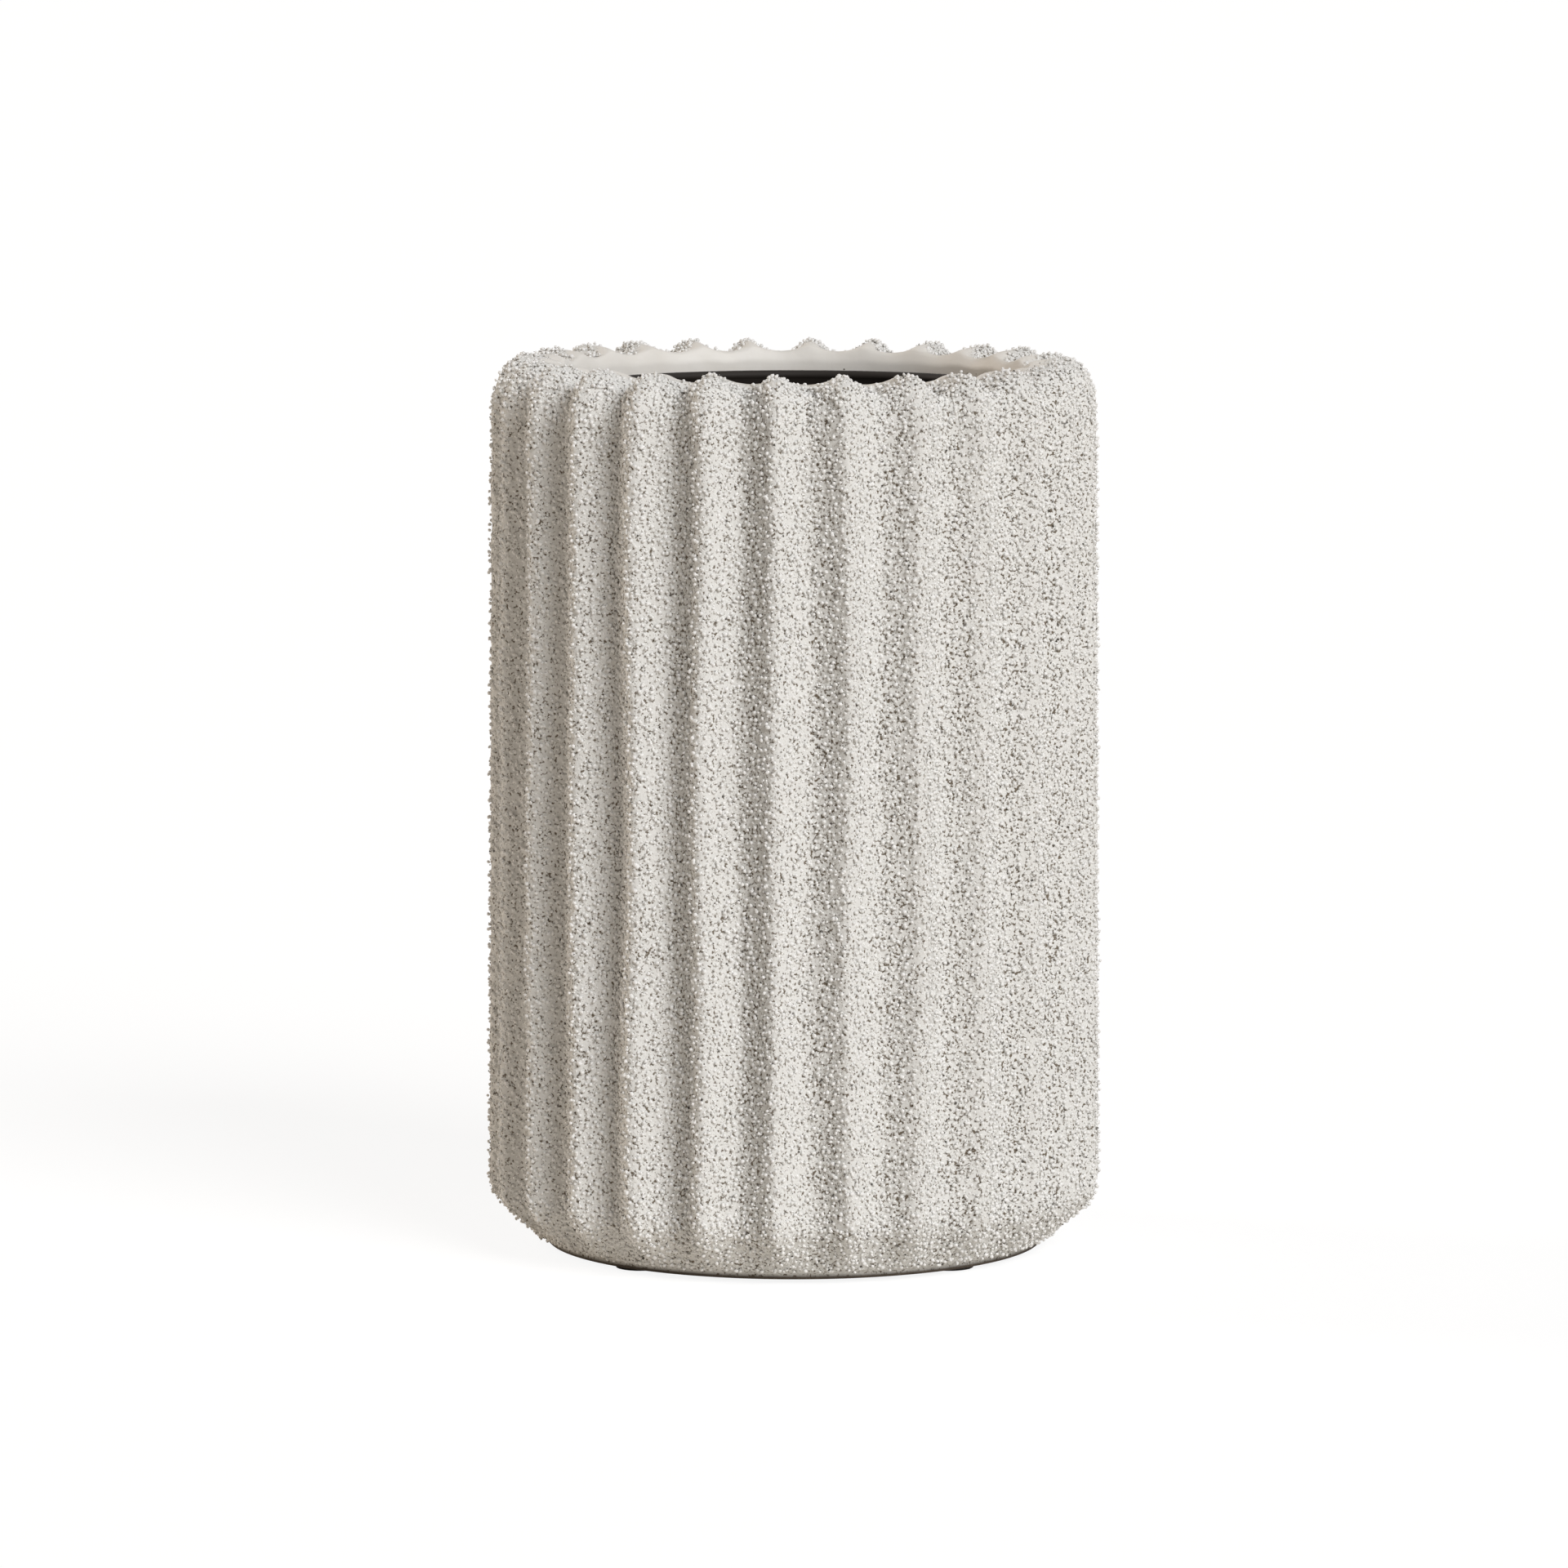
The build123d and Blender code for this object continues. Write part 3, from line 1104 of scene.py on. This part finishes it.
        write_values(mesh, "tone", np.repeat(tone, corners))

    def lay_flat(self, mesh: Mesh, model: Array) -> None:
        """Maps each grain to a square of its own, a little aslant so that no face lies edge on.

        Args:
            mesh: Mesh of a band.
            model: Places of the grains before they are set, in millimetres.
        """
        grains = len(model)
        side = math.ceil(math.sqrt(grains))
        number = np.arange(grains)
        cell = np.stack([number % side, number // side], 1)[:, None]
        flat = model[:, :, :2] + model[:, :, 2:] * np.array(self.slant)
        spot = ((cell + 0.5 + flat * self.filled) / side).reshape(-1, 2)
        write_map(mesh, spot[read(mesh.loops, "vertex_index", np.int32)])

    def dress(self) -> None:
        """Builds the coat and lets it ride on the vase."""
        for piece in self.build():
            dress(piece, self.material, Body.VASE)


@dataclass
class WaterLiner:
    """Watertight cup that stands loose in the hollow, with a round bead along its top edge."""

    finish: MouldedLiner
    base_height: float = 12.0
    base_radius: float = 49.8
    base_middle: float = 25.0
    base: float = 2.0
    base_round: float = 5.0
    base_flare: float = 0.07
    top_radius: float = 52.8
    wall: float = 1.6
    bead_radius: float = 1.2
    bead_height: float = 208.6
    bead_reach: float = 0.9
    bead_angles: Pair = (-49.0, 229.0)
    wall_steps: int = 10
    round_steps: int = 8
    bead_steps: int = 18
    steps: int = 160

    def build(self) -> Object:
        """Spins the cup's profile: outside, bead and inside.

        Returns:
            The liner's object.
        """
        low, soft, thin = self.base_height, self.base_round, self.wall
        inner_soft = soft - thin
        floor, inner = low + self.base, self.base_radius - thin
        turn_out = self.base_radius - soft + self.base_flare
        turn_in = inner - inner_soft + self.base_flare
        bead = (self.top_radius - thin / 2, self.bead_height)
        rise = np.linspace(low + soft, self.bead_height - self.bead_reach, self.wall_steps)[1:-1]
        taper = (self.top_radius - self.base_radius) / (self.bead_height - low)
        profile = [(0, low), (self.base_middle, low)]
        profile += arc_points((turn_out, low + soft), soft, -90, 0, self.round_steps)
        profile += [(self.base_radius + (height - low) * taper, height) for height in rise]
        profile += arc_points(bead, self.bead_radius, *self.bead_angles, self.bead_steps)
        profile += [(inner + (height - low) * taper, height) for height in rise[::-1]]
        profile += arc_points((turn_in, floor + inner_soft), inner_soft, 0, -90, self.round_steps)
        profile += [(self.base_middle, floor), (0, floor)]
        return as_piece(spun(profile, 0, self.steps), "moulded_liner")

    def dress(self) -> None:
        """Builds the liner and puts it in the place of its CAD node."""
        piece = self.build()
        piece.data.attributes.remove(piece.data.attributes[ROW])
        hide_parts("water_liner")
        dress(piece, self.finish.material(), Body.LINER)


@dataclass
class FeltDots:
    """Felt dots glued under the foot ring."""

    finish: PressedFelt
    count: int = 4
    radius: float = 6.0
    thickness: float = 1.0
    edge_round: float = 0.25
    edge_steps: int = 3
    ring_radius: float = 52.24
    turn: float = 45.0
    segments: int = 64
    cap_rings: Pair = (1.0, 2.0)
    frayed: float = 0.06
    frayed_width: float = 1.0
    seed: int = 23

    def build(self, number: int) -> Object:
        """Punches one dot: a disc with worn edges and a slightly frayed rim.

        Args:
            number: Number of the dot, from 1.

        Returns:
            The dot's object.
        """
        shape = bmesh.new()
        middle = Matrix.Translation((0, 0, self.thickness / 2 * MM))
        disc = (self.radius - self.frayed) * MM
        sizes = {"radius1": disc, "radius2": disc, "depth": self.thickness * MM}
        bmesh.ops.create_cone(shape, cap_ends=True, segments=self.segments, matrix=middle, **sizes)
        caps = [face for face in shape.faces if len(face.verts) > 4]
        rims = [edge for face in caps for edge in face.edges]
        worn = {"offset": self.edge_round * MM, "offset_type": "OFFSET", "segments": self.edge_steps}
        bmesh.ops.bevel(shape, geom=rims, affect="EDGES", profile=0.5, material=-1, **worn)
        caps = [face for face in shape.faces if len(face.verts) > 4]
        for width in self.cap_rings:
            bmesh.ops.inset_region(shape, faces=caps, thickness=width * MM, use_even_offset=True)
        rng = np.random.default_rng(self.seed + number)
        for vertex in shape.verts:
            if math.hypot(vertex.co.x, vertex.co.y) > (self.radius - self.frayed_width) * MM:
                vertex.co.xy *= 1 + rng.uniform(-1, 1) * self.frayed / self.radius
        angle = math.radians(self.turn + (number - 1) * 360 / self.count)
        place = Vector((math.cos(angle), math.sin(angle), 0)) * self.ring_radius * MM
        bmesh.ops.translate(shape, verts=shape.verts[:], vec=place)
        return as_piece(shape, f"felt_pad_{number}")

    def dress(self) -> None:
        """Builds the dots and puts each in the place of its CAD node."""
        felt = self.finish.material()
        for number in range(1, self.count + 1):
            piece = self.build(number)
            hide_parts(f"felt_dot_{number}")
            dress(piece, felt, Body.VASE)


@dataclass(frozen=True)
class Lamp:
    """Large soft lamp far off.

    Its angles are in degrees: round from the camera to the right, up, and across the lamp's face.
    """

    name: str
    azimuth: float
    elevation: float
    softness: float
    strength: float
    colour: str = "#FFFFFF"

    def hang(self) -> None:
        """Hangs the lamp so that it shines on the vase."""
        light = bpy.data.lights.new(self.name, "SUN")
        light.angle = math.radians(self.softness)
        light.energy = self.strength
        light.color = linear(self.colour)[:3]
        lamp = placed(self.name, light)
        turn, up = math.radians(self.azimuth), math.radians(self.elevation)
        level = math.cos(up)
        way = Vector((math.sin(turn) * level, -math.cos(turn) * level, math.sin(up)))
        lamp.location = way
        lamp.rotation_euler = way.to_track_quat("Z", "Y").to_euler()


@dataclass
class Studio:
    """Pale floor, soft light from the right, a warm fill from the left and the photograph's camera."""

    # Floor, with its side in metres
    floor_colour: str = "#F2EDE5"
    shadow_colour: str = "#787878"
    floor_glow: float = 0.89
    floor_size: float = 120.0

    # Camera, with its far clip in metres
    camera_place: tuple[float, float, float] = (-2.56, -1938.0, 333.5)
    camera_pitch: float = 6.508
    lens: float = 184.3
    sensor: float = 36.0
    far_clip: float = 200.0

    # Lamps, and the weak light from all round
    key: Lamp = Lamp("soft_key", azimuth=35.0, elevation=32.0, softness=30.0, strength=2.5)
    side: Lamp = Lamp(
        "left_fill", azimuth=-112.0, elevation=18.0, softness=16.0, strength=1.15, colour="#FFF0DE"
    )
    fill_colour: str = "#FFE7CE"
    fill_strength: float = 0.105

    def build_floor(self) -> None:
        """Lays the floor, which the camera sees near white with the vase's soft shadow on it."""
        shape = bmesh.new()
        bmesh.ops.create_grid(shape, x_segments=2, y_segments=2, size=self.floor_size / 2)
        floor = as_piece(shape, "studio_floor")
        material, tree = blank_material("matt_paper_floor")
        paper = add_node(tree, "BsdfDiffuse", {"Color": linear(self.floor_colour)})
        faint = add_node(tree, "BsdfDiffuse", {"Color": linear(self.shadow_colour)})
        glow = add_node(tree, "Emission", {"Color": (1, 1, 1, 1), "Strength": self.floor_glow})
        white = add_node(tree, "AddShader", {0: faint.outputs[0], 1: glow.outputs[0]})
        seen = add_node(tree, "LightPath", {}).outputs["Is Camera Ray"]
        both = add_node(tree, "MixShader", {0: seen, 1: paper.outputs[0], 2: white.outputs[0]})
        add_node(tree, "OutputMaterial", {"Surface": both.outputs[0]})
        floor.data.materials.append(material)

    def build_light(self) -> None:
        """Hangs both lamps in surroundings that fill the shadows and that the camera sees white."""
        self.key.hang()
        self.side.hang()
        world = bpy.data.worlds.new("white_surroundings")
        world.use_nodes = True
        tree = world.node_tree
        tree.nodes.clear()
        path = add_node(tree, "LightPath", {}).outputs
        shown = path["Is Camera Ray"]
        for kind in ("Is Transmission Ray", "Is Glossy Ray"):
            shown = add_node(tree, "Math", {0: shown, 1: path[kind]}, operation="MAXIMUM").outputs[0]
        fill = {"Color": linear(self.fill_colour), "Strength": self.fill_strength}
        soft = add_node(tree, "Background", fill)
        white = add_node(tree, "Background", {"Color": (1, 1, 1, 1), "Strength": 1.0})
        both = add_node(tree, "MixShader", {0: shown, 1: soft.outputs[0], 2: white.outputs[0]})
        output = add_node(tree, "OutputWorld", {"Surface": both.outputs[0]})
        tree.nodes.active = output
        bpy.context.scene.world = world

    def build_camera(self) -> None:
        """Sets the camera at the photograph's height, distance and angle."""
        camera = bpy.data.cameras.new("photo_camera")
        camera.lens = self.lens
        camera.sensor_width = self.sensor
        camera.clip_end = self.far_clip
        holder = placed("photo_camera", camera)
        holder.location = Vector(self.camera_place) * MM
        holder.rotation_euler = (math.radians(90 - self.camera_pitch), 0, 0)
        bpy.context.scene.camera = holder

    def dress(self) -> None:
        """Builds floor, light and camera."""
        self.build_floor()
        self.build_light()
        self.build_camera()
        bpy.context.scene.view_settings.view_transform = "Standard"


def grit_coats(shape: VaseShape, sand: Material) -> list[GritCoat]:
    """Lists the layers of the sand coat.

    Args:
        shape: Shape of the vase that they cover.
        sand: Material of the grains.

    Returns:
        Coarse pale grains, finer broken ones between them, and dark iron specks.
    """
    coarse = GritCoat(
        shape, sand, "coarse_grit", GrainForm.ROUNDED, bands=5, doublings=13, smallest=0.9, largest=1.4,
        tones=(0.5, 1.0), proud=(0.65, 1.3), dark=(0.0, 0.0), seed=31,
    )
    # Fine grains turn dark more often on the shaded flank of each ridge, as painted shade
    fine = GritCoat(
        shape, sand, "fine_grit", GrainForm.ANGULAR, bands=6, doublings=14, smallest=0.7, largest=1.1,
        tones=(0.4, 1.0), proud=(0.05, 0.5), dark=(0.02, 0.17), seed=47,
    )
    iron = GritCoat(
        shape, sand, "iron_speck", GrainForm.ANGULAR, bands=1, doublings=13, smallest=0.4, largest=0.75,
        tones=(0.0, 0.1), proud=(0.5, 0.8), dark=(0.0, 0.0), seed=59,
    )
    return [coarse, fine, iron]


def main() -> None:
    """Builds the studio and every piece of the vase."""
    logging.basicConfig(level=logging.INFO, format="%(name)s %(message)s")
    Studio().dress()
    shape = VaseShape()
    StonewareBody(shape, GlazedStoneware()).dress()
    for coat in grit_coats(shape, SandGrains().material()):
        coat.dress()
    WaterLiner(MouldedLiner()).dress()
    FeltDots(PressedFelt()).dress()


if __name__ == "__main__":
    main()
